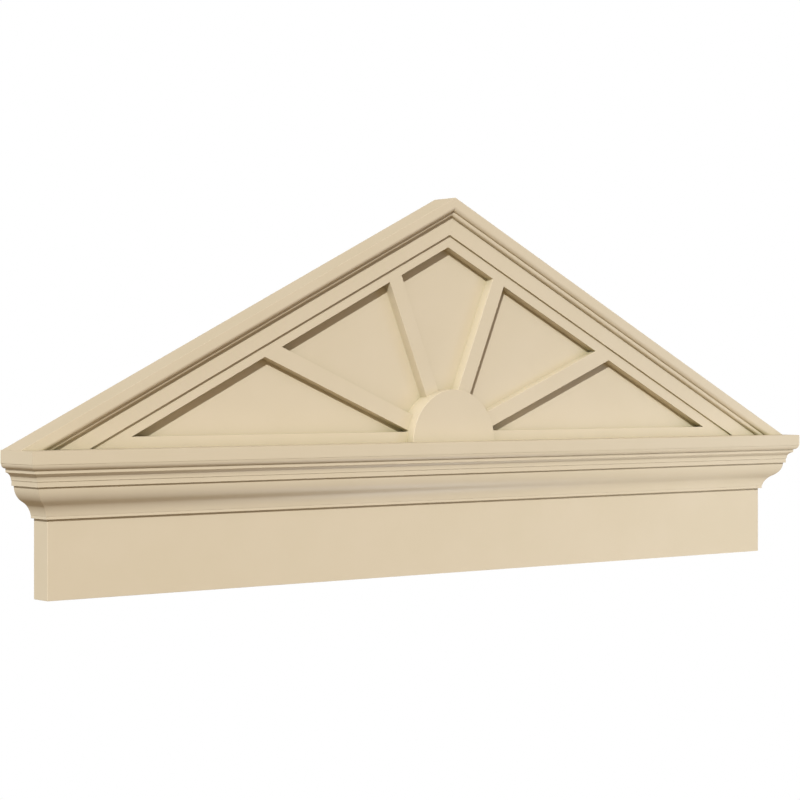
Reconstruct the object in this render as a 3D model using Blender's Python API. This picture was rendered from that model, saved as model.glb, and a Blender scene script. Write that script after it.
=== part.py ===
"""Classical pediment with a sunburst gable over a flat frieze, built up from boards and mouldings.

Lengths are in metres. X runs to the viewer's right, Y into the wall and Z up. The origin is in the
wall plane, on the centre line, at the middle of the frieze board's back.
"""

from math import asin, atan, cos, pi, radians, sin, sqrt

import bmesh
import bpy
from mathutils import Vector

MM = 0.001

# Overall form
BOARD_LENGTH = 1118 * MM
BOARD_DEPTH = 29.5 * MM
CORNICE_TOP = 161.4 * MM
APEX_HEIGHT = 460.2 * MM
ROOF_PITCH = 6 / 12
SEAM = 0.3 * MM

# Bed moulding: a fillet, then an ogee that leans out from its foot to its steepest and back again
BED_FOOT = 87.3 * MM
BED_FILLET_OUT = 3.6 * MM
BED_FILLET_TOP = 90.6 * MM
OGEE_QUIRK = 0.3 * MM
OGEE_HOLLOW_HEIGHT = 14.6 * MM
OGEE_ROUND_HEIGHT = 16.6 * MM
OGEE_FOOT_LEAN = radians(10)
OGEE_STEEPEST_LEAN = radians(60)
OGEE_TOP_LEAN = radians(3)

# Crown moulding: a fillet, a cove, a second fillet, an ovolo and the fascia
CROWN_FOOT = 123.0 * MM
CROWN_FILLET_OUT = 27.0 * MM
CROWN_FILLET_TOP = 128.7 * MM
COVE_FOOT_OUT = 27.8 * MM
COVE_SPRING = 129.6 * MM
COVE_RADIUS = 8.0 * MM
COVE_SWEEP = radians(76)
SECOND_FILLET_OUT = 34.2 * MM
OVOLO_TOP = 146.9 * MM
OVOLO_RADIUS = 5.4 * MM
FASCIA_FOOT = 147.2 * MM
FASCIA_OUT = 40.1 * MM

# Rake crown, measured down square to the roof surface and out from the boards' face
RAKE_FASCIA_OUT = 10.8 * MM
RAKE_FASCIA_DROP = 9.5 * MM
RAKE_OVOLO_RADIUS = 5.6 * MM
RAKE_OVOLO_SWEEP = radians(68)
RAKE_FILLET_OUT = 5.7 * MM
RAKE_FILLET_DROP = 16.4 * MM
RAKE_BEAD_RADIUS = 3.4 * MM
RAKE_CROWN_DROP = 19.95 * MM

# Rake board and gable
RAKE_BOARD_DROP = 40.4 * MM
GABLE_SETBACK = 3.3 * MM
RECESS_DEPTH = 12.4 * MM
BORDER_DROP = 53.84 * MM
BORDER_FOOT = 173.8 * MM

# Sunburst
HUB_CENTRE_HEIGHT = 160.2 * MM
HUB_RADIUS = 65 * MM
HUB_PROUD = 12 * MM
RAY_WIDTH = 20 * MM
RAY_ANGLES = [radians(22.5), radians(67.5), radians(112.5), radians(157.5)]

ARC_STEP = radians(4)
HUB_ARC_STEP = radians(3)
SMOOTH_ANGLE = radians(24)
FILL_SCALE = 1000.0
WELD = 1e-6

ROOF_ANGLE = atan(ROOF_PITCH)
HALF_BOARD = BOARD_LENGTH / 2
FOOT_Z = -CORNICE_TOP / 2
FACE_Y = -BOARD_DEPTH
GABLE_FOOT = CORNICE_TOP + SEAM
GABLE_Y = FACE_Y + GABLE_SETBACK
FLOOR_Y = GABLE_Y + RECESS_DEPTH
RIGHT = Vector((1.0, 0.0, 0.0))
FRONT = Vector((0.0, -1.0, 0.0))
UP = Vector((0.0, 0.0, 1.0))
SIDES = ((-1, "left"), (1, "right"))


def clear_scene():
    """Remove every object that the file opened with."""
    for thing in list(bpy.data.objects):
        bpy.data.objects.remove(thing)


def primed_pvc(name):
    """Matt cream primer on cellular PVC."""
    material = bpy.data.materials.new(name)
    material.use_nodes = True
    shader = material.node_tree.nodes["Principled BSDF"]
    shader.inputs["Base Color"].default_value = (0.72, 0.60, 0.42, 1.0)
    shader.inputs["Roughness"].default_value = 0.6
    shader.inputs["Metallic"].default_value = 0.0
    return material


def arc(centre, radius, start, end, step=ARC_STEP):
    """Points on an arc from angle start to angle end, both included."""
    count = max(2, round(abs(end - start) / step))
    angles = [start + (end - start) * i / count for i in range(count + 1)]
    return [(centre[0] + radius * cos(a), centre[1] + radius * sin(a)) for a in angles]


def leaning_arc(start, rise, first, last):
    """An arc that climbs by rise while its lean from the upright goes from first to last."""
    radius = rise / abs(sin(last) - sin(first))
    side = 1 if last > first else -1
    count = max(2, round(abs(last - first) / ARC_STEP))
    leans = [first + (last - first) * i / count for i in range(count + 1)]
    return [
        (
            start[0] + side * radius * (cos(first) - cos(lean)),
            start[1] + side * radius * (sin(lean) - sin(first)),
        )
        for lean in leans
    ]


def prism(outline):
    """Mesh of a flat outline between Z -0.5 and 0.5, at FILL_SCALE times its size."""
    flat = bpy.data.curves.new("outline", "CURVE")
    flat.dimensions = "2D"
    flat.fill_mode = "BOTH"
    flat.extrude = 0.5
    spline = flat.splines.new("POLY")
    spline.points.add(len(outline) - 1)
    for point, (a, b) in zip(spline.points, outline):
        point.co = (a * FILL_SCALE, b * FILL_SCALE, 0.0, 1.0)
    spline.use_cyclic_u = True
    holder = bpy.data.objects.new("outline", flat)
    bpy.context.scene.collection.objects.link(holder)
    depsgraph = bpy.context.evaluated_depsgraph_get()
    mesh = bpy.data.meshes.new_from_object(holder.evaluated_get(depsgraph))
    bpy.data.objects.remove(holder)
    bpy.data.curves.remove(flat)
    return mesh


def carry(name, outline, origin, across, up, along, start_cut, end_cut):
    """Carry an outline along a direction, each point from the start cut's plane to the end cut's.

    The outline lies at the origin, and across and up are where its own two directions point. A cut
    is a point on its plane and the plane's normal.
    """
    mesh = prism(outline)
    shape = bmesh.new()
    shape.from_mesh(mesh)
    for vert in shape.verts:
        on_plane, normal = start_cut if vert.co.z < 0 else end_cut
        foot = origin + (across * vert.co.x + up * vert.co.y) / FILL_SCALE
        vert.co = foot + along * ((on_plane - foot).dot(normal) / along.dot(normal))
    bmesh.ops.remove_doubles(shape, verts=shape.verts, dist=WELD)
    bmesh.ops.recalc_face_normals(shape, faces=shape.faces)
    shape.to_mesh(mesh)
    shape.free()
    mesh.name = name
    mesh.shade_smooth()
    mesh.set_sharp_from_angle(angle=SMOOTH_ANGLE)
    mesh.materials.clear()
    mesh.materials.append(primed_pvc(name + "_primer"))
    pieces.objects.link(bpy.data.objects.new(name, mesh))


def bed_outline():
    """Section of the bed moulding: distance out from the board, height above the foot."""
    hollow_start = (BED_FILLET_OUT + OGEE_QUIRK, BED_FILLET_TOP)
    hollow = leaning_arc(hollow_start, OGEE_HOLLOW_HEIGHT, OGEE_FOOT_LEAN, OGEE_STEEPEST_LEAN)
    swell = leaning_arc(hollow[-1], OGEE_ROUND_HEIGHT, OGEE_STEEPEST_LEAN, OGEE_TOP_LEAN)
    return [
        (SEAM, BED_FOOT),
        (BED_FILLET_OUT, BED_FOOT),
        (BED_FILLET_OUT, BED_FILLET_TOP),
        *hollow,
        *swell[1:],
        (swell[-1][0], CROWN_FOOT - SEAM),
        (SEAM, CROWN_FOOT - SEAM),
    ]


def crown_outline():
    """Section of the crown moulding: distance out from the board, height above the foot."""
    cove_centre = (COVE_FOOT_OUT + COVE_RADIUS, COVE_SPRING)
    cove = arc(cove_centre, COVE_RADIUS, pi, pi - COVE_SWEEP)
    ovolo = arc((SECOND_FILLET_OUT, OVOLO_TOP), OVOLO_RADIUS, -pi / 2, 0.0)
    return [
        (SEAM, CROWN_FOOT),
        (CROWN_FILLET_OUT, CROWN_FOOT),
        (CROWN_FILLET_OUT, CROWN_FILLET_TOP),
        (COVE_FOOT_OUT, CROWN_FILLET_TOP),
        *cove,
        (SECOND_FILLET_OUT, cove[-1][1]),
        *ovolo,
        (ovolo[-1][0], FASCIA_FOOT),
        (FASCIA_OUT, FASCIA_FOOT),
        (FASCIA_OUT, CORNICE_TOP),
        (SEAM, CORNICE_TOP),
    ]


def rake_crown_outline():
    """Section of the rake crown: distance out from the boards' face, drop below the roof surface."""
    ovolo_centre = (RAKE_FASCIA_OUT - RAKE_OVOLO_RADIUS, RAKE_FASCIA_DROP)
    ovolo = arc(ovolo_centre, RAKE_OVOLO_RADIUS, 0.0, RAKE_OVOLO_SWEEP)
    bead_centre = (RAKE_FILLET_OUT - RAKE_BEAD_RADIUS, RAKE_FILLET_DROP)
    bead = arc(bead_centre, RAKE_BEAD_RADIUS, 0.0, pi / 2)
    return [
        (-BOARD_DEPTH, 0.0),
        (RAKE_FASCIA_OUT, 0.0),
        *ovolo,
        (RAKE_FILLET_OUT, ovolo[-1][1]),
        *bead,
        (bead[-1][0], RAKE_CROWN_DROP),
        (-BOARD_DEPTH, RAKE_CROWN_DROP),
    ]


def rake_board_outline():
    """Section of the rake board: distance out from its own face, drop below the roof surface."""
    top = RAKE_CROWN_DROP + SEAM
    return [(-BOARD_DEPTH, top), (0.0, top), (0.0, RAKE_BOARD_DROP), (-BOARD_DEPTH, RAKE_BOARD_DROP)]


def build_frieze():
    """The flat board, which runs up behind the mouldings to the top of the cornice."""
    bpy.ops.mesh.primitive_cube_add(size=1.0)
    board = bpy.context.active_object
    board.name = "frieze_board"
    board.data.name = "frieze_board"
    size = Vector((BOARD_LENGTH, BOARD_DEPTH, CORNICE_TOP))
    for vert in board.data.vertices:
        vert.co = vert.co * size
    board.location = (0.0, -BOARD_DEPTH / 2, 0.0)
    board.data.materials.append(primed_pvc("frieze_board_primer"))
    for holder in list(board.users_collection):
        holder.objects.unlink(board)
    pieces.objects.link(board)


def build_run(name, outline):
    """One moulding along the board's front and round both ends, mitred at the corners."""
    half_gap = SEAM / sqrt(2)
    mitres = {}
    for side in (-1, 1):
        mitres[side] = (Vector((side * (HALF_BOARD - half_gap), FACE_Y, 0.0)), Vector((side, 1.0, 0.0)))
    middle = Vector((0.0, FACE_Y, FOOT_Z))
    carry(name + "_front", outline, middle, FRONT, UP, RIGHT, mitres[-1], mitres[1])
    wall = (Vector((0.0, 0.0, 0.0)), FRONT)
    for side, word in SIDES:
        end = Vector((side * HALF_BOARD, 0.0, FOOT_Z))
        mitre = (Vector((side * HALF_BOARD, FACE_Y + half_gap, 0.0)), Vector((side, 1.0, 0.0)))
        carry(f"{name}_return_{word}", outline, end, RIGHT * side, UP, FRONT, wall, mitre)


def build_slopes(name, outline):
    """One length up each slope, cut plumb at the apex and level on the cornice."""
    apex = Vector((0.0, FACE_Y, APEX_HEIGHT + FOOT_Z))
    level = (Vector((0.0, 0.0, GABLE_FOOT + FOOT_Z)), UP)
    for side, word in SIDES:
        down_slope = Vector((side * cos(ROOF_ANGLE), 0.0, -sin(ROOF_ANGLE)))
        square_down = Vector((-side * sin(ROOF_ANGLE), 0.0, -cos(ROOF_ANGLE)))
        plumb = (Vector((side * SEAM / 2, 0.0, 0.0)), RIGHT)
        carry(f"{name}_{word}", outline, apex, FRONT, square_down, down_slope, plumb, level)


def centre_height(drop):
    """Height on the centre line of a slope's line that lies that far below the roof surface."""
    return APEX_HEIGHT - drop / cos(ROOF_ANGLE)


def gable_outline():
    """The triangle between the rake boards and the cornice, from its left end over the apex."""
    top = centre_height(RAKE_BOARD_DROP + SEAM)
    half_width = (top - GABLE_FOOT) / ROOF_PITCH
    return [(-half_width, GABLE_FOOT), (0.0, top), (half_width, GABLE_FOOT)]


def sheet(name, outline, front_y, back_y):
    """A flat sheet parallel to the wall."""
    origin = Vector((0.0, 0.0, FOOT_Z))
    front = (Vector((0.0, front_y, 0.0)), FRONT)
    back = (Vector((0.0, back_y, 0.0)), FRONT)
    carry(name, outline, origin, RIGHT, UP, FRONT, back, front)


def on_slope(start, direction):
    """Where a line from a point reaches the border's inner edge, under the slope it leans towards."""
    fall = ROOF_PITCH if direction[0] > 0 else -ROOF_PITCH
    rise = centre_height(BORDER_DROP) - fall * start[0] - start[1]
    travel = rise / (direction[1] + fall * direction[0])
    return (start[0] + travel * direction[0], start[1] + travel * direction[1])


def ray_end(angle, side):
    """Where one edge of a ray meets the border."""
    direction = (cos(angle), sin(angle))
    half_width = RAY_WIDTH / 2 * side
    start = (-direction[1] * half_width, HUB_CENTRE_HEIGHT + direction[0] * half_width)
    return on_slope(start, direction)


def hub_angle(height, radius):
    """The angle at which a circle about the hub's centre stands at that height."""
    return asin((height - HUB_CENTRE_HEIGHT) / radius)


def hub_outline():
    """The half round block in the middle, its foot level on the cornice."""
    foot = hub_angle(GABLE_FOOT, HUB_RADIUS)
    return arc((0.0, HUB_CENTRE_HEIGHT), HUB_RADIUS, foot, pi - foot, HUB_ARC_STEP)


def frame_outline():
    """Border, bottom rails and rays as one line: in and out between the rays, then round the outside.

    The rails' and the rays' ends are cut round, to butt against the hub.
    """
    cut = HUB_RADIUS + SEAM
    foot, rail = hub_angle(GABLE_FOOT, cut), hub_angle(BORDER_FOOT, cut)
    spread = asin(RAY_WIDTH / 2 / cut)
    ends = [(foot, rail), *[(angle - spread, angle + spread) for angle in RAY_ANGLES], (pi - rail, pi - foot)]
    inner_half_width = (centre_height(BORDER_DROP) - BORDER_FOOT) / ROOF_PITCH
    corners = [(inner_half_width, BORDER_FOOT)]
    for angle in RAY_ANGLES:
        corners += [ray_end(angle, -1), ray_end(angle, 1)]
    corners.append((-inner_half_width, BORDER_FOOT))
    outline = []
    for start, finish in ends:
        outline += arc((0.0, HUB_CENTRE_HEIGHT), cut, start, finish, HUB_ARC_STEP)
        recess, corners = corners[:2], corners[2:]
        if recess and recess[0][0] > 0 > recess[1][0]:
            recess.insert(1, (0.0, centre_height(BORDER_DROP)))
        outline += recess
    return outline + gable_outline()


clear_scene()
pieces = bpy.data.collections.new("classical_pediment")
bpy.context.scene.collection.children.link(pieces)
build_frieze()
build_run("bed_moulding", bed_outline())
build_run("crown_moulding", crown_outline())
build_slopes("rake_crown", rake_crown_outline())
build_slopes("rake_board", rake_board_outline())
sheet("tympanum_panel", gable_outline(), FLOOR_Y, 0.0)
sheet("sunburst_frame", frame_outline(), GABLE_Y, FLOOR_Y - SEAM)
sheet("sunburst_hub", hub_outline(), GABLE_Y - HUB_PROUD, FLOOR_Y - SEAM)
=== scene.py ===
from math import asin, atan, cos, pi, radians, sin

import bpy
import numpy as np
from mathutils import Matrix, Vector
from mathutils.geometry import tessellate_polygon


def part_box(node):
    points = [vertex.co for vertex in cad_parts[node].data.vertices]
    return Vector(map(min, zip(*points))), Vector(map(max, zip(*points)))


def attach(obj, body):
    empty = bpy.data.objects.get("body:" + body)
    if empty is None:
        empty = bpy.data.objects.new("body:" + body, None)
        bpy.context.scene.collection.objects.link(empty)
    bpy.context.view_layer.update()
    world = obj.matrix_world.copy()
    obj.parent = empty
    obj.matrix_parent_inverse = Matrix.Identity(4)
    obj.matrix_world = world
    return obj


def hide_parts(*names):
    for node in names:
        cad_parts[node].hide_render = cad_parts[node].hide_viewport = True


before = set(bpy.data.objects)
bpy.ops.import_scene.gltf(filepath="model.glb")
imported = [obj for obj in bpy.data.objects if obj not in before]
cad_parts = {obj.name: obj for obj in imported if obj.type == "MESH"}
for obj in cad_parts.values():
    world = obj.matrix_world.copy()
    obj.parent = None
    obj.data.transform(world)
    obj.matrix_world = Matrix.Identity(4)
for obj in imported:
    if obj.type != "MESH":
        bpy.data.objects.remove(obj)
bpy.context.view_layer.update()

mm = 0.001


# Everything below is in millimetres, with heights from the frieze's foot, until a mesh is written.
# What the solids already fix is read off them here.
friezeLow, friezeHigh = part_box("frieze_board")
general = {
    "halfBoard": friezeHigh.x / mm,
    "face": friezeLow.y / mm,             # the boards' face, in front of the wall plane at 0
    "foot": friezeLow.z / mm,
    "corniceTop": (friezeHigh.z - friezeLow.z) / mm,
    "apex": (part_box("rake_crown_left")[1].z - friezeLow.z) / mm,
    "pitch": 6 / 12,
    "gableFace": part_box("sunburst_frame")[0].y / mm,
    "floorFace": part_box("tympanum_panel")[0].y / mm,
    "hubFace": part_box("sunburst_hub")[0].y / mm,
    "glueLine": 0.04,                     # what is left of a joint once it is glued up
    "ease": 0.25,                         # the softened arris that primer leaves on a cut edge
    "mostEased": 0.35,                    # share of a short span that easing one of its ends may take
    "support": 0.12,                      # edge loop beside an arris, so flats shade flat
    "sharpAngle": 28,                     # degrees, past which an edge shades sharp
}
slope = atan(general["pitch"])
print("frame read: frieze", [round(v, 1) for v in (2 * general["halfBoard"], general["corniceTop"])])


def hexColour(code):
    # sRGB hex to linear: below 0.04045 a straight line, above it a 2.4 power
    srgb = np.array([int(code[i:i + 2], 16) for i in (1, 3, 5)]) / 255
    linear = np.where(srgb <= 0.04045, srgb / 12.92, ((srgb + 0.055) / 1.055) ** 2.4)
    return (*linear, 1.0)


def addNode(tree, kind, settings=None, values=None, links=None):
    # one node with its settings, its sockets' values and the links that feed it
    node = tree.nodes.new(kind)
    for name, value in (settings or {}).items():
        setattr(node, name, value)
    for name, value in (values or {}).items():
        node.inputs[name].default_value = value
    for name, source in (links or {}).items():
        tree.links.new(source, node.inputs[name])
    return node


primer = {
    "body": "#ccbfa5",         # factory cream primer as it reads in even light
    "warm": "#cabda2",         # where the coat is a little thinner
    "paintedShadeColour": "#a99f7d",       # painted shade deep in a joint or corner, where less open sky reaches
    "paintedShadeReach": 22.0,       # mm, how far from a corner that still shows
    "paintedShadeCurve": 2.0,        # above 1 it keeps to the deep places
    "paintedShadeDeepest": 0.2,            # share of open sky at which a corner counts as fully deep
    "mottleSize": 90.0,        # mm, slow drift of the coat
    "mottleSpan": (0.35, 0.65),  # part of the noise that the drift is spread over
    "peelSize": 2.2,           # mm, sprayed primer's orange peel, drawn coarse enough to show
    "grainSize": 0.5,          # mm, fine tooth of the primer
    "grainSpan": (0.3, 0.7),   # part of the noise that the gloss is spread over
    "grainShare": 0.25,        # the tooth's height, as a share of the peel's
    "peelHeight": 0.012,       # mm
    "roughness": (0.52, 0.62),
    "ior": 1.46,
}


def primedPvcMaterial(name):
    # Factory primed cellular PVC: an even, matt, slightly toothy cream with a faint orange peel, and shade
    # painted darker into its corners and creases
    material = bpy.data.materials.new(name)
    material.use_nodes = True
    tree = material.node_tree
    shader = tree.nodes["Principled BSDF"]
    shader.inputs["IOR"].default_value = primer["ior"]
    where = addNode(tree, "ShaderNodeTexCoord").outputs["Object"]
    mottle = addNode(tree, "ShaderNodeTexNoise", values={
        "Scale": 1 / (primer["mottleSize"] * mm), "Detail": 3.0, "Roughness": 0.6}, links={"Vector": where})
    peel = addNode(tree, "ShaderNodeTexNoise", values={
        "Scale": 1 / (primer["peelSize"] * mm), "Detail": 1.0, "Roughness": 0.4}, links={"Vector": where})
    grain = addNode(tree, "ShaderNodeTexNoise", values={
        "Scale": 1 / (primer["grainSize"] * mm), "Detail": 2.0, "Roughness": 0.6}, links={"Vector": where})
    mottleLow, mottleHigh = primer["mottleSpan"]
    spread = addNode(tree, "ShaderNodeMapRange", values={
        "From Min": mottleLow, "From Max": mottleHigh}, links={"Value": mottle.outputs["Fac"]})
    colour = addNode(tree, "ShaderNodeMix", {"data_type": "RGBA"}, links={
        "Factor": spread.outputs["Result"]})
    colour.inputs["A"].default_value = hexColour(primer["body"])
    colour.inputs["B"].default_value = hexColour(primer["warm"])
    # painted shade: how much of a point's sky is closed off within the shade's reach tells how deep in a
    # corner it lies
    corner = addNode(tree, "ShaderNodeAmbientOcclusion", {"samples": 8}, {
        "Distance": primer["paintedShadeReach"] * mm})
    depth = addNode(tree, "ShaderNodeMapRange", values={
        "From Min": 1.0, "From Max": primer["paintedShadeDeepest"]}, links={"Value": corner.outputs["AO"]})
    paintedShadeAmount = addNode(tree, "ShaderNodeMath", {"operation": "POWER"}, links={0: depth.outputs["Result"]})
    paintedShadeAmount.inputs[1].default_value = primer["paintedShadeCurve"]
    # painted shade: the base colour is mixed towards the darker shade colour as the corner deepens
    coat = addNode(tree, "ShaderNodeMix", {"data_type": "RGBA"}, links={
        "Factor": paintedShadeAmount.outputs[0], "A": colour.outputs["Result"]})
    coat.inputs["B"].default_value = hexColour(primer["paintedShadeColour"])
    tree.links.new(coat.outputs["Result"], shader.inputs["Base Color"])
    grainLow, grainHigh = primer["grainSpan"]
    smoothest, roughest = primer["roughness"]
    sheen = addNode(tree, "ShaderNodeMapRange", values={
        "From Min": grainLow, "From Max": grainHigh, "To Min": smoothest, "To Max": roughest}, links={
        "Value": grain.outputs["Fac"]})
    tree.links.new(sheen.outputs["Result"], shader.inputs["Roughness"])
    relief = addNode(tree, "ShaderNodeMath", {"operation": "MULTIPLY_ADD"}, links={
        0: grain.outputs["Fac"], 2: peel.outputs["Fac"]})
    relief.inputs[1].default_value = primer["grainShare"]
    bump = addNode(tree, "ShaderNodeBump", values={
        "Strength": 1.0, "Distance": primer["peelHeight"] * mm}, links={"Height": relief.outputs[0]})
    tree.links.new(bump.outputs["Normal"], shader.inputs["Normal"])
    return material


primed = primedPvcMaterial("primedCellularPvc")
print("material ready:", primed.name)


def roundPoints(centre, radius, start, end, step=radians(3)):
    # points on a circle's arc: centre plus radius times (cos, sin) of angles from start to end
    count = max(2, int(round(abs(end - start) / step)))
    angle = np.linspace(start, end, count + 1)
    return np.stack([centre[0] + radius * np.cos(angle), centre[1] + radius * np.sin(angle)], 1)


def leanPoints(start, rise, first, last, step=radians(2.5)):
    # an arc that climbs by rise as its lean from the upright goes from first to last, with
    # r = rise / (sin last - sin first): out by r (cos first - cos lean), up by r (sin lean - sin first)
    radius = rise / (sin(last) - sin(first))
    lean = np.linspace(first, last, int(round(abs(last - first) / step)) + 1)
    out = start[0] + radius * (cos(first) - np.cos(lean))
    return np.stack([out, start[1] + radius * (np.sin(lean) - sin(first))], 1)


def trimmed(span, headCut, tailCut, inner=None):
    # a polyline with that much of its length cut off each end, and a support point beside each new end;
    # between them it keeps its own points, or takes that many evenly spaced ones
    steps = np.hypot(*np.diff(span, axis=0).T)
    along = np.concatenate([[0.0], np.cumsum(steps)])
    total = along[-1]
    inset = min(general["support"], (total - headCut - tailCut) / 3)
    marks = [headCut, headCut + inset, total - tailCut - inset, total - tailCut]
    own = along[(along > marks[1] + 1e-6) & (along < marks[2] - 1e-6)]
    own = own if inner is None else np.linspace(marks[1], marks[2], inner + 2)[1:-1]
    marks = np.sort(np.concatenate([marks, own]))
    return np.stack([np.interp(marks, along, span[:, k]) for k in (0, 1)], 1)


def easedLoop(spans, ease=None, steps=5, inner=None):
    # a closed outline from spans that meet at its arrises: each arris is cut back by ease along both
    # spans and bridged by the quadratic curve (1-t)^2 a + 2t(1-t) corner + t^2 b; an ease of 0 keeps it
    # sharp. Ease and inner are one value, or one for each span, ease being that of the span's first arris
    count = len(spans)
    wanted = np.broadcast_to(general["ease"] if ease is None else ease, count)
    inner = inner if isinstance(inner, list) else [inner] * count
    lengths = [np.hypot(*np.diff(span, axis=0).T).sum() for span in spans]
    most = general["mostEased"]
    cuts = [min(wanted[i], most * lengths[i - 1], most * lengths[i]) for i in range(count)]
    loop = []
    t = np.linspace(0, 1, steps + 1)[1:-1, None]
    parts = [trimmed(span, cuts[i], cuts[(i + 1) % count], inner[i]) for i, span in enumerate(spans)]
    for i, part in enumerate(parts):
        after = (i + 1) % count
        if cuts[after] == 0:
            loop.append(part[:-1])
            continue
        bridge = (1 - t) ** 2 * part[-1] + 2 * t * (1 - t) * spans[i][-1] + t ** 2 * parts[after][0]
        loop += [part, bridge]
    return np.concatenate(loop)


def spansFrom(items):
    # spans between arrises: an item is a point, which is an arris, or an array, which is a curve
    # between two of them
    spans = []
    last = None
    first = None
    for item in items:
        item = np.atleast_2d(np.asarray(item, float))
        if last is not None and np.hypot(*(item[0] - last)) > 1e-6:
            spans.append(np.stack([last, item[0]]))
        if len(item) > 1:
            spans.append(item)
        first = item[0] if first is None else first
        last = item[-1]
    spans.append(np.stack([last, first]))
    return spans


def writePiece(name, points, quads, caps=(), sharp=general["sharpAngle"]):
    # vertices in millimetres from the frieze's foot become a mesh at its place in the row's frame
    verts = np.asarray(points, float) * mm
    verts[:, 2] += general["foot"] * mm
    mesh = bpy.data.meshes.new(name)
    mesh.from_pydata(verts.tolist(), [], [*np.asarray(quads).tolist(), *caps])
    mesh.validate()
    mesh.shade_smooth()
    mesh.set_sharp_from_angle(angle=radians(sharp))
    mesh.materials.append(primed)
    piece = bpy.data.objects.new(name, mesh)
    bpy.context.scene.collection.objects.link(piece)
    return piece


def gridFaces(rows, columns, wrap):
    # quads between neighbouring rows and columns of a grid, row by row, its columns closed if wrap
    r = np.arange(rows - 1)[:, None]
    c = np.arange(columns if wrap else columns - 1)[None, :]
    n = (c + 1) % columns
    low, high = r * columns, (r + 1) * columns
    return np.stack([low + c, low + n, high + n, high + c], -1).reshape(-1, 4)


def carried(name, loop, origin, across, up, along, startCut, endCut, stations=24):
    # a section carried along a line: point = origin + a across + b up + t along, with t running
    # evenly from where that line meets the start cut's plane to where it meets the end cut's
    origin, across, up, along = (np.asarray(v, float) for v in (origin, across, up, along))
    base = origin + loop[:, :1] * across + loop[:, 1:] * up
    reach = [((np.asarray(p, float) - base) @ np.asarray(n, float)) / (along @ np.asarray(n, float))
             for p, n in (startCut, endCut)]
    t = np.linspace(0, 1, stations)[:, None]
    travel = reach[0] * (1 - t) + reach[1] * t
    points = base[None] + travel[..., None] * along
    count = len(loop)
    quads = gridFaces(stations, count, True)
    caps = [list(range(count))[::-1], list(range((stations - 1) * count, stations * count))]
    area = np.sum(loop[:, 0] * np.roll(loop[:, 1], -1) - np.roll(loop[:, 0], -1) * loop[:, 1])
    if area * np.dot(np.cross(across, up), along) * np.sign((reach[1] - reach[0]).mean()) < 0:
        quads = quads[:, ::-1]
        caps = [cap[::-1] for cap in caps]
    return writePiece(name, points.reshape(-1, 3), quads, caps)


def finish(piece, node):
    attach(piece, "root")
    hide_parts(node)
    return piece


frontWay, rightWay, upWay = (0, -1, 0), (1, 0, 0), (0, 0, 1)
sides = ((-1, "left"), (1, "right"))

bedMoulding = {
    "foot": 87.3,
    "filletOut": 3.6,
    "filletTop": 90.6,
    "quirk": 0.3,
    "hollowRise": 14.6,
    "swellRise": 16.6,
    "leans": (radians(10), radians(60), radians(3)),
    "top": 122.85,
}
crownMoulding = {
    "foot": 122.95,
    "filletOut": 27.0,
    "filletTop": 128.7,
    "coveOut": 27.8,
    "coveSpring": 129.6,
    "coveRadius": 8.0,
    "coveSweep": radians(76),
    "secondOut": 34.2,
    "ovoloTop": 146.9,
    "ovoloRadius": 5.4,
    "fasciaFoot": 147.2,
    "fasciaOut": 40.1,
}


def bedSection(size):
    # fillet, then an ogee of two arcs that share their steepest lean
    footLean, steepest, topLean = size["leans"]
    start = (size["filletOut"] + size["quirk"], size["filletTop"])
    hollow = leanPoints(start, size["hollowRise"], footLean, steepest)
    swell = leanPoints(hollow[-1], size["swellRise"], steepest, topLean)
    ogee = np.concatenate([hollow, swell[1:]])
    seam = general["glueLine"]
    return easedLoop(spansFrom([
        (seam, size["foot"]), (size["filletOut"], size["foot"]), (size["filletOut"], size["filletTop"]),
        ogee, (ogee[-1][0], size["top"]), (seam, size["top"])]))


def crownSection(size):
    # fillet, cove, second fillet, ovolo, fascia
    spring = (size["coveOut"] + size["coveRadius"], size["coveSpring"])
    cove = roundPoints(spring, size["coveRadius"], pi, pi - size["coveSweep"])
    ovolo = roundPoints((size["secondOut"], size["ovoloTop"]), size["ovoloRadius"], -pi / 2, 0)
    seam = general["glueLine"]
    top = general["corniceTop"]
    return easedLoop(spansFrom([
        (seam, size["foot"]), (size["filletOut"], size["foot"]), (size["filletOut"], size["filletTop"]),
        (size["coveOut"], size["filletTop"]), cove, (size["secondOut"], cove[-1][1]), ovolo,
        (ovolo[-1][0], size["fasciaFoot"]), (size["fasciaOut"], size["fasciaFoot"]),
        (size["fasciaOut"], top), (seam, top)]))


def mitredRun(name, loop):
    # the front length between two 45 degree mitres, and a return on each end back to the wall
    half, face, gap = general["halfBoard"], general["face"], general["glueLine"] / 2
    mitres = {side: ((side * (half - gap), face, 0), (side, 1, 0)) for side in (-1, 1)}
    front = carried(name + "Front", loop, (0, face, 0), frontWay, upWay, rightWay, mitres[-1], mitres[1])
    finish(front, name.replace("Moulding", "_moulding") + "_front")
    for side, word in sides:
        mitre = ((side * half, face + gap, 0), (side, 1, 0))
        wall = ((0, 0, 0), frontWay)
        piece = carried(f"{name}Return.{word}", loop, (side * half, 0, 0), (side, 0, 0), upWay, frontWay,
                        wall, mitre, stations=6)
        finish(piece, name.replace("Moulding", "_moulding") + "_return_" + word)


mitredRun("bedMoulding", bedSection(bedMoulding))
mitredRun("crownMoulding", crownSection(crownMoulding))
print("cornice carried round the front and both ends")

rakeCrown = {
    "fasciaOut": 10.8,
    "fasciaDrop": 9.5,
    "springStep": 0.01,       # too short a flat to ease, so the ovolo starts where the fascia ends
    "ovoloRadius": 5.6,
    "ovoloSweep": radians(68),
    "filletOut": 5.7,
    "filletDrop": 16.4,
    "beadRadius": 3.4,
    "drop": 19.95,
}
rakeBoard = {"drop": 40.4}


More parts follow.
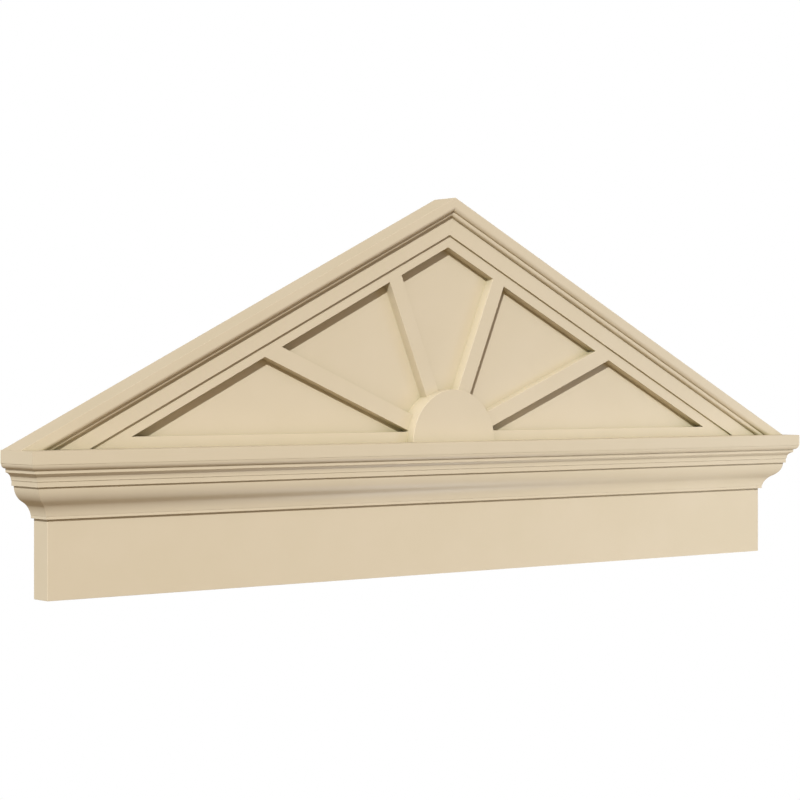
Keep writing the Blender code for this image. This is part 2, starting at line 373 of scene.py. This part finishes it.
def rakeCrownSection(size):
    # fascia, ovolo turning under, fillet and a small bead, as distance out and drop below the roof
    back = general["face"]
    large, small = size["ovoloRadius"], size["beadRadius"]
    ovolo = roundPoints((size["fasciaOut"] - large, size["fasciaDrop"]), large, 0, size["ovoloSweep"])
    fasciaEnd = size["fasciaDrop"] - size["springStep"]
    bead = roundPoints((size["filletOut"] - small, size["filletDrop"]), small, 0, pi / 2)
    return easedLoop(spansFrom([
        (back, 0), (size["fasciaOut"], 0), (size["fasciaOut"], fasciaEnd), ovolo,
        (size["filletOut"], ovolo[-1][1]), bead, (bead[-1][0], size["drop"]), (back, size["drop"])]))


def rakeBoardSection(size):
    back = general["face"]
    top = rakeCrown["drop"] + general["glueLine"]
    return easedLoop(spansFrom([(back, top), (0, top), (0, size["drop"]), (back, size["drop"])]))


def slopePair(name, node, loop):
    # one length down each slope: its section lies square to the slope, cut plumb above and level below
    for side, word in sides:
        down = (side * cos(slope), 0, -sin(slope))
        square = (-side * sin(slope), 0, -cos(slope))
        plumb = ((side * general["glueLine"] / 2, 0, 0), rightWay)
        level = ((0, 0, general["corniceTop"] + general["glueLine"]), upWay)
        piece = carried(f"{name}.{word}", loop, (0, general["face"], general["apex"]), frontWay, square,
                        down, plumb, level)
        finish(piece, f"{node}_{word}")


slopePair("rakeCrown", "rake_crown", rakeCrownSection(rakeCrown))
slopePair("rakeBoard", "rake_board", rakeBoardSection(rakeBoard))
print("slopes done")


def axisMarks(low, high, ease, stations, stripLines=4):
    # grid lines of one side of a rounded box: close in the eased strips, even between them
    turn = np.tan(np.linspace(0, pi / 4, stripLines))
    head = low + ease * (1 - turn[::-1])
    tail = high - ease * (1 - turn)
    inset = general["support"]
    middle = np.linspace(low + ease + inset, high - ease - inset, stations)
    return np.concatenate([head, middle, tail])


def easedBox(name, low, high, size):
    # every point of a box's surface, moved to the nearest point of a box shrunk by ease, plus ease
    # along the line between the two, which rounds all edges and corners
    low, high = np.asarray(low, float), np.asarray(high, float)
    ease = size["ease"]
    marks = [axisMarks(low[k], high[k], ease, size["stations"][k]) for k in range(3)]
    points, quads, count = [], [], 0
    for k in range(3):
        u, v = (k + 1) % 3, (k + 2) % 3
        gu, gv = np.meshgrid(marks[u], marks[v], indexing="ij")
        for end in (0, 1):
            grid = np.zeros((*gu.shape, 3))
            grid[..., k] = (low, high)[end][k]
            grid[..., u] = gu
            grid[..., v] = gv
            faces = gridFaces(*gu.shape, False) + count
            quads.append(faces if end == 0 else faces[:, ::-1])
            points.append(grid.reshape(-1, 3))
            count += gu.size
    points = np.concatenate(points)
    core = np.clip(points, low + ease, high - ease)
    push = points - core
    points = core + ease * push / np.linalg.norm(push, axis=1, keepdims=True)
    unique, inverse = np.unique(points.round(6), axis=0, return_inverse=True)
    quads = inverse.reshape(-1)[np.concatenate(quads)]
    return writePiece(name, unique, quads, sharp=size["sharpAngle"])


frieze = {
    "ease": 0.4,
    "stations": (24, 3, 8),
    "sharpAngle": 60,
}
lowCorner = (-general["halfBoard"], general["face"], 0)
highCorner = (general["halfBoard"], 0, general["corniceTop"])
finish(easedBox("friezeBoard", lowCorner, highCorner, frieze), "frieze_board")
print("frieze board done")

sunburst = {
    "hubHeight": 160.2,
    "hubRadius": 65.0,
    "rayWidth": 20.0,
    "rayAngles": [radians(a) for a in (22.5, 67.5, 112.5, 157.5)],
    "borderDrop": 53.84,
    "borderFoot": 173.8,
    "arris": 0.4,           # softened edge round each opening
    "hubArris": 0.5,
    "cornerCut": 0.9,       # how far a corner's rounding reaches along each side
    "cornerSteps": 6,
    "arrisSteps": 5,
    "edgePoints": 22,
    "arcPoints": 8,
    "arcStep": radians(0.5),
    "hubSteps": 120,
}


def sunburstSpans(size, grow):
    # the frame's outline with every opening grown by grow, as spans between arrises: round the end of a
    # rail or ray, which butts on the hub, then along the next opening's edges, and last round the outside
    top = general["apex"] - (size["borderDrop"] - grow) / cos(slope)
    rail = size["borderFoot"] - grow
    foot = general["corniceTop"] + general["glueLine"]
    half = size["rayWidth"] / 2 - grow
    cut = size["hubRadius"] + general["glueLine"]
    centre = (0, size["hubHeight"])

    def rayEnd(angle, side):
        way = np.array([cos(angle), sin(angle)])
        start = np.array([-way[1], way[0]]) * half * side + centre
        fall = general["pitch"] * np.sign(way[0])
        return start + (top - fall * start[0] - start[1]) / (way[1] + fall * way[0]) * way

    low, high = (asin((height - size["hubHeight"]) / cut) for height in (foot, rail))
    spread = asin(half / cut)
    stubs = [(low, high), *[(a - spread, a + spread) for a in size["rayAngles"]], (pi - high, pi - low)]
    corners = [np.array([(top - rail) / general["pitch"], rail])]
    for angle in size["rayAngles"]:
        corners += [rayEnd(angle, -1), rayEnd(angle, 1)]
    corners.append(corners[0] * (-1, 1))
    outerTop = general["apex"] - (rakeBoard["drop"] + general["glueLine"]) / cos(slope)
    outside = np.array([-(outerTop - foot) / general["pitch"], foot]), np.array([0, outerTop])
    spans, eases, inner = [], [], []

    def edge(path, firstEase, points):
        # the straight spans along a path: an opening's own corners are rounded, the outside's stay sharp
        for a, b in zip(path[:-1], path[1:]):
            spans.append(np.stack([a, b]))
            eases.append(firstEase)
            inner.append(points)
            firstEase = size["cornerCut"] + grow if points == size["edgePoints"] else 0

    for i, (start, end) in enumerate(stubs):
        spans.append(roundPoints(centre, cut, start, end, step=size["arcStep"]))
        eases.append(0)
        inner.append(size["arcPoints"])
        if i < len(stubs) - 1:
            following = roundPoints(centre, cut, stubs[i + 1][0], stubs[i + 1][1])[0]
            first, last = corners[2 * i], corners[2 * i + 1]
            middle = [np.array([0, top])] if first[0] > 0 > last[0] else []
            edge([spans[-1][-1], first, *middle, last, following], 0, size["edgePoints"])
    edge([spans[-1][-1], outside[0], outside[1], outside[0] * (-1, 1), spans[0][0]], 0, size["arcPoints"])
    return spans, eases, inner


def arrisRings(size, front, back):
    # how far in from the outline, and at what depth, each ring of a raised shape lies: a flat margin,
    # the arris as ease (1 - sin a) in and ease (1 - cos a) back, then straight down to the back
    turn = np.linspace(0, pi / 2, sunburst["arrisSteps"] + 1)
    margin = general["support"]
    rings = [(size + margin, front), *[(size * (1 - sin(a)), front + size * (1 - cos(a))) for a in turn]]
    return rings + [(0.0, front + size + margin), (0.0, back)]


def raisedShape(name, loops, depths):
    # a solid from the same outline at several depths: quads between the rings, a filled face at each end
    width = len(loops[0])
    points = np.concatenate([np.insert(loop, 1, y, axis=1) for loop, y in zip(loops, depths)])
    quads = gridFaces(len(loops), width, True)
    caps = []
    for ring, facing in ((0, -1), (len(loops) - 1, 1)):
        flat = loops[ring]
        for triangle in tessellate_polygon([[Vector((*p, 0)) for p in flat]]):
            a, b, c = (flat[i] for i in triangle)
            turned = (b[0] - a[0]) * (c[1] - a[1]) - (b[1] - a[1]) * (c[0] - a[0])
            if abs(turned) > 1e-9:
                face = [i + ring * width for i in triangle]
                caps.append(face if turned * facing < 0 else face[::-1])
    return writePiece(name, points, quads, caps)


def hubLoop(inset):
    # the half round block's outline, its arc drawn in by inset and its foot level on the cornice
    radius = sunburst["hubRadius"] - inset
    low = asin((general["corniceTop"] + general["glueLine"] - sunburst["hubHeight"]) / radius)
    step = (pi - 2 * low) / sunburst["hubSteps"]
    return roundPoints((0, sunburst["hubHeight"]), radius, low, pi - low, step=step)


backOfSheet = general["floorFace"] - general["glueLine"]
rings = arrisRings(sunburst["arris"], general["gableFace"], backOfSheet)
frameLoops = []
for grow, _ in rings:
    spans, eases, inner = sunburstSpans(sunburst, grow)
    frameLoops.append(easedLoop(spans, eases, steps=sunburst["cornerSteps"], inner=inner))
finish(raisedShape("sunburstFrame", frameLoops, [y for _, y in rings]), "sunburst_frame")
rings = arrisRings(sunburst["hubArris"], general["hubFace"], backOfSheet)
hubLoops = [hubLoop(inset) for inset, _ in rings]
finish(raisedShape("sunburstHub", hubLoops, [y for _, y in rings]), "sunburst_hub")
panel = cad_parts["tympanum_panel"]
panel.data.materials.clear()
panel.data.materials.append(primed)
print("sunburst and panel done")

view = {
    "place": (-1684.9, -2041.8, 230.0),
    "yaw": 38.60,            # degrees to the right of straight at the wall
    "lens": 96.12,
    "sensor": 36,
    "shiftY": -0.0181,
    "farEnd": 100,           # metres
}


def placeCamera(size):
    data = bpy.data.cameras.new("photoView")
    data.lens = size["lens"]
    data.sensor_width = size["sensor"]
    data.shift_y = size["shiftY"]
    data.clip_end = size["farEnd"]
    camera = bpy.data.objects.new("photoView", data)
    x, y, z = size["place"]
    camera.location = (x * mm, y * mm, (z + general["foot"]) * mm)
    camera.rotation_euler = (pi / 2, 0, -radians(size["yaw"]))
    bpy.context.scene.collection.objects.link(camera)
    bpy.context.scene.camera = camera


placeCamera(view)

studio = {
    "suns": {                 # way the light travels, strength, how wide it looks in degrees and colour
        "keyLight": ((0.911, 1.0, -0.710), 4.08, 1.2, "#f5f8fd"),
        "backLight": ((-0.5, -1.0, 0.0), 2.0, 8.0, "#ffffff"),
    },
    "lamps": {                # place, watts, radius in mm and colour
        "lowLamp": ((470.0, -80.0, -600.0), 15.0, 60.0, "#f0f6ff"),
        "coolLamp": ((1100.0, -900.0, 200.0), 9.0, 200.0, "#bcdaff"),
    },
    "fillColour": "#ffdaaa",  # warm, as light that has come off a cream room
    "sideColour": "#f6f6f8",  # cooler, as from a window on the brighter side
    "ambient": 0.32,
    "brighterSide": (-0.94, 0.0, 0.34),
    "sideShare": 0.25,        # how much more comes from that side
    "floorDrop": 900.0,
    "floorSize": 30000.0,
}


def addLamp(name, kind, energy, values):
    data = bpy.data.lights.new(name, kind)
    data.energy = energy
    for key, value in values.items():
        setattr(data, key, value)
    lamp = bpy.data.objects.new(name, data)
    bpy.context.scene.collection.objects.link(lamp)
    return lamp


def softRoom(size):
    # what lights the object from all round: strength = ambient + sideShare times the cosine of the angle
    # to the brighter side, where that is over 0, and the colour goes from warm to cool with that same
    # cosine; the camera sees plain white
    world = bpy.data.worlds.new("paleStudio")
    bpy.context.scene.world = world
    world.use_nodes = True
    tree = world.node_tree
    tree.nodes.clear()
    way = addNode(tree, "ShaderNodeTexCoord").outputs["Generated"]
    cosine = addNode(tree, "ShaderNodeVectorMath", {"operation": "DOT_PRODUCT"}, links={0: way})
    cosine.inputs[1].default_value = size["brighterSide"]
    facing = addNode(tree, "ShaderNodeMath", {"operation": "MAXIMUM"}, links={0: cosine.outputs["Value"]})
    facing.inputs[1].default_value = 0
    total = addNode(tree, "ShaderNodeMath", {"operation": "MULTIPLY_ADD"}, links={0: facing.outputs[0]})
    total.inputs[1].default_value = size["sideShare"]
    total.inputs[2].default_value = size["ambient"]
    tint = addNode(tree, "ShaderNodeMix", {"data_type": "RGBA"}, links={"Factor": facing.outputs[0]})
    tint.inputs["A"].default_value = hexColour(size["fillColour"])
    tint.inputs["B"].default_value = hexColour(size["sideColour"])
    fill = addNode(tree, "ShaderNodeBackground", links={
        "Color": tint.outputs["Result"], "Strength": total.outputs[0]})
    paper = addNode(tree, "ShaderNodeBackground", values={"Color": (1, 1, 1, 1), "Strength": 1.0})
    seen = addNode(tree, "ShaderNodeLightPath").outputs["Is Camera Ray"]
    mixed = addNode(tree, "ShaderNodeMixShader", links={
        "Fac": seen, 1: fill.outputs["Background"], 2: paper.outputs["Background"]})
    addNode(tree, "ShaderNodeOutputWorld", links={"Surface": mixed.outputs["Shader"]})


def paperFloor(size):
    # Plain white studio paper, burnt out to white as in the photograph. The camera sees its upper side
    # alone, and it neither lights nor shades the object
    material = bpy.data.materials.new("whiteStudioPaper")
    material.use_nodes = True
    tree = material.node_tree
    tree.nodes.clear()
    seen = addNode(tree, "ShaderNodeLightPath").outputs["Is Camera Ray"]
    under = addNode(tree, "ShaderNodeNewGeometry").outputs["Backfacing"]
    shown = addNode(tree, "ShaderNodeMath", {"operation": "GREATER_THAN"}, links={0: seen, 1: under})
    clear = addNode(tree, "ShaderNodeBsdfTransparent")
    white = addNode(tree, "ShaderNodeEmission", values={"Color": (1, 1, 1, 1), "Strength": 1.0})
    mixed = addNode(tree, "ShaderNodeMixShader", links={
        "Fac": shown.outputs[0], 1: clear.outputs["BSDF"], 2: white.outputs["Emission"]})
    addNode(tree, "ShaderNodeOutputMaterial", links={"Surface": mixed.outputs["Shader"]})
    half, z = size["floorSize"] / 2 * mm, (general["foot"] - size["floorDrop"]) * mm
    mesh = bpy.data.meshes.new("paperFloor")
    corners = [(-half, -half, z), (half, -half, z), (half, half, z), (-half, half, z)]
    mesh.from_pydata(corners, [], [(0, 1, 2, 3)])
    mesh.materials.append(material)
    floor = bpy.data.objects.new("paperFloor", mesh)
    bpy.context.scene.collection.objects.link(floor)


def buildStudio(size):
    for name, (way, strength, width, colour) in size["suns"].items():
        sun = addLamp(name, "SUN", strength, {
            "angle": radians(width), "color": hexColour(colour)[:3]})
        sun.rotation_euler = Vector(way).to_track_quat("-Z", "Y").to_euler()
    for name, ((x, y, z), watts, radius, colour) in size["lamps"].items():
        lamp = addLamp(name, "POINT", watts, {
            "shadow_soft_size": radius * mm, "color": hexColour(colour)[:3]})
        lamp.location = (x * mm, y * mm, (z + general["foot"]) * mm)
    softRoom(size)
    paperFloor(size)


buildStudio(studio)
bpy.context.scene.view_settings.view_transform = "Standard"
print("studio lit")
